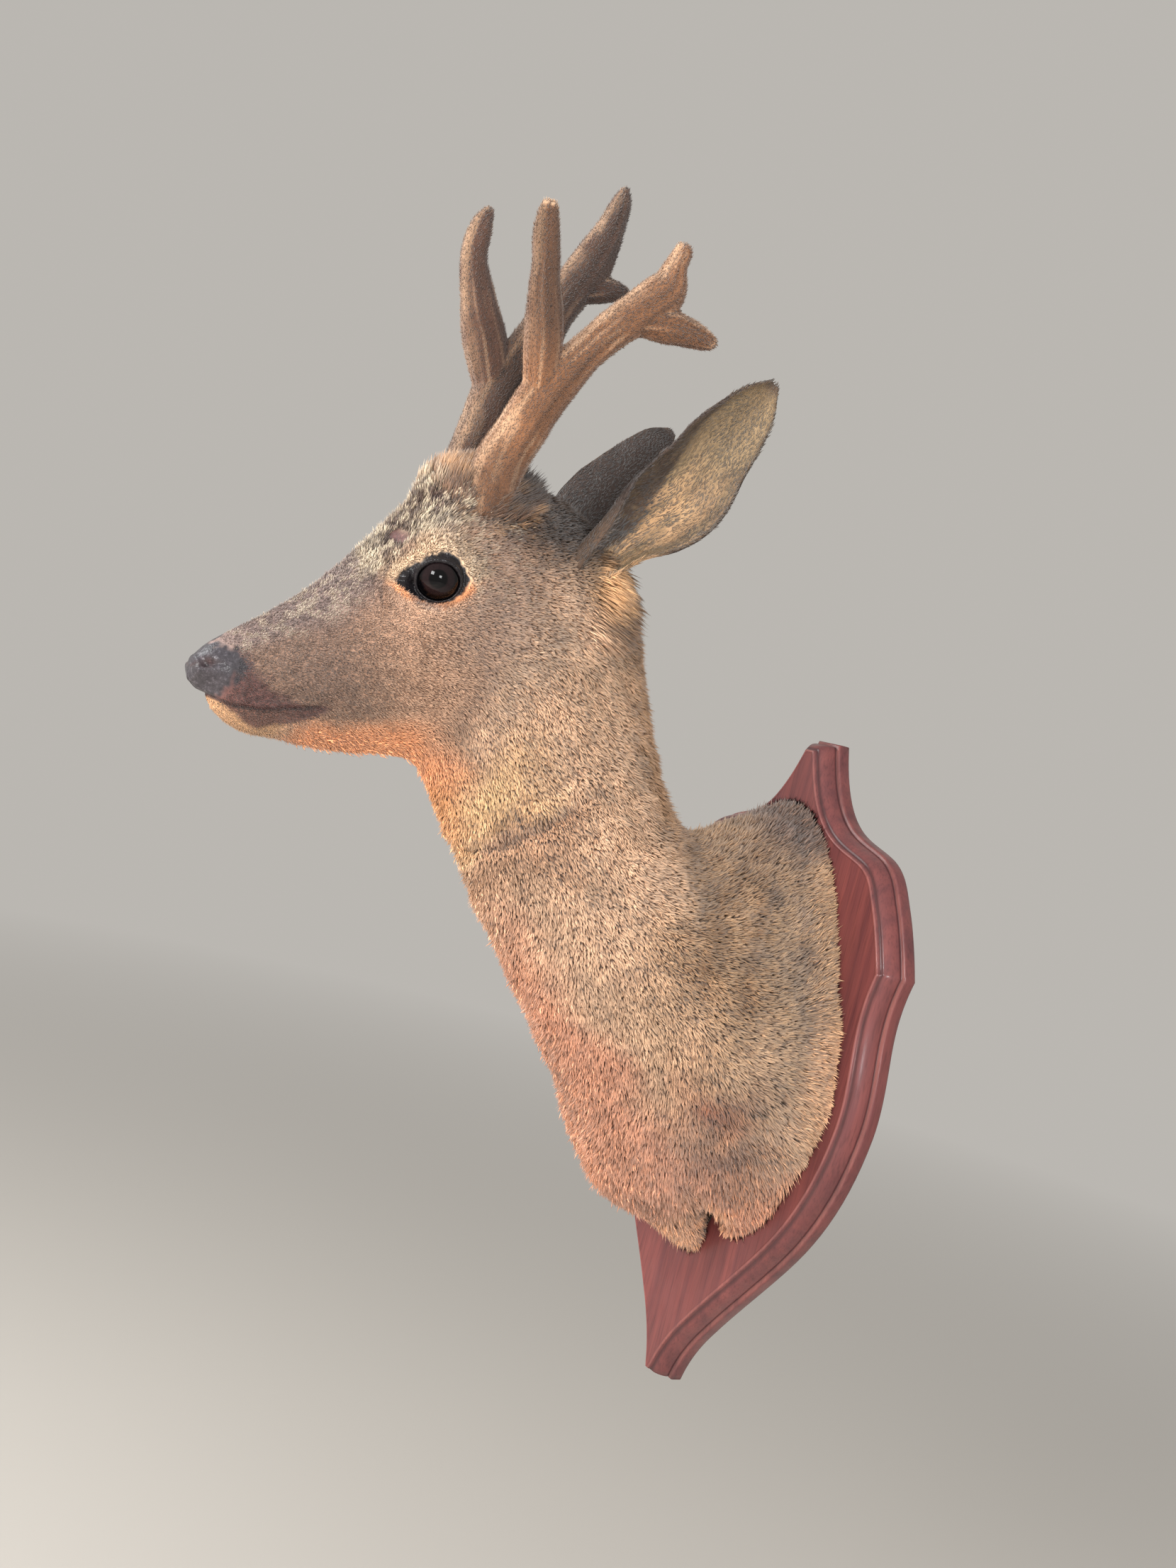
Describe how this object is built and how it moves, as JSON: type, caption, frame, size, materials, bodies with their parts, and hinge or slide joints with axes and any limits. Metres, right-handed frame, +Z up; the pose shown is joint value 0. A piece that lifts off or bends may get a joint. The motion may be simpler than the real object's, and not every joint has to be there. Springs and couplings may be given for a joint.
{
  "type": "roe deer shoulder mount",
  "caption": "Life-size roe buck shoulder mount in winter coat with antlers in velvet, fixed to a moulded wooden wall shield.",
  "frame": {"origin": "middle of the shield's flat back face, where it meets the wall", "axes": "+Y out of the shield's back into the wall, -Y the way the deer looks, +X to the deer's left, +Z up"},
  "size_m": [0.2472, 0.424, 0.7065],
  "materials": {
    "shield_wood": "satin varnish on red-brown stained wood, upright grain",
    "body_coat": "short dense grey-brown winter hair, speckled",
    "face_coat": "very short hair, frosted on the forehead, cream on the chin",
    "ear_coat": "thin hair, olive tan inside and dark at the rim",
    "nose_leather": "bare dark skin with a slight gloss",
    "glass_eye": "polished, near black",
    "antler_velvet": "matt velvet skin, tan to brown"
  },
  "bodies": {
    "root": {"board": "shield_wood", "nose_pad": "nose_leather", "muzzle": "face_coat", "lower_jaw": "face_coat", "head": "face_coat", "neck_upper": "body_coat", "neck_lower": "body_coat", "chest": "body_coat", "eye_left": "glass_eye", "eye_right": "glass_eye", "ear_left": "ear_coat", "ear_right": "ear_coat", "antler_left_beam": "antler_velvet", "antler_left_upper_beam": "antler_velvet", "antler_left_top_tine": "antler_velvet", "antler_left_front_tine": "antler_velvet", "antler_left_back_tine": "antler_velvet", "antler_right_beam": "antler_velvet", "antler_right_upper_beam": "antler_velvet", "antler_right_top_tine": "antler_velvet", "antler_right_front_tine": "antler_velvet", "antler_right_back_tine": "antler_velvet"}
  },
  "joints": []
}
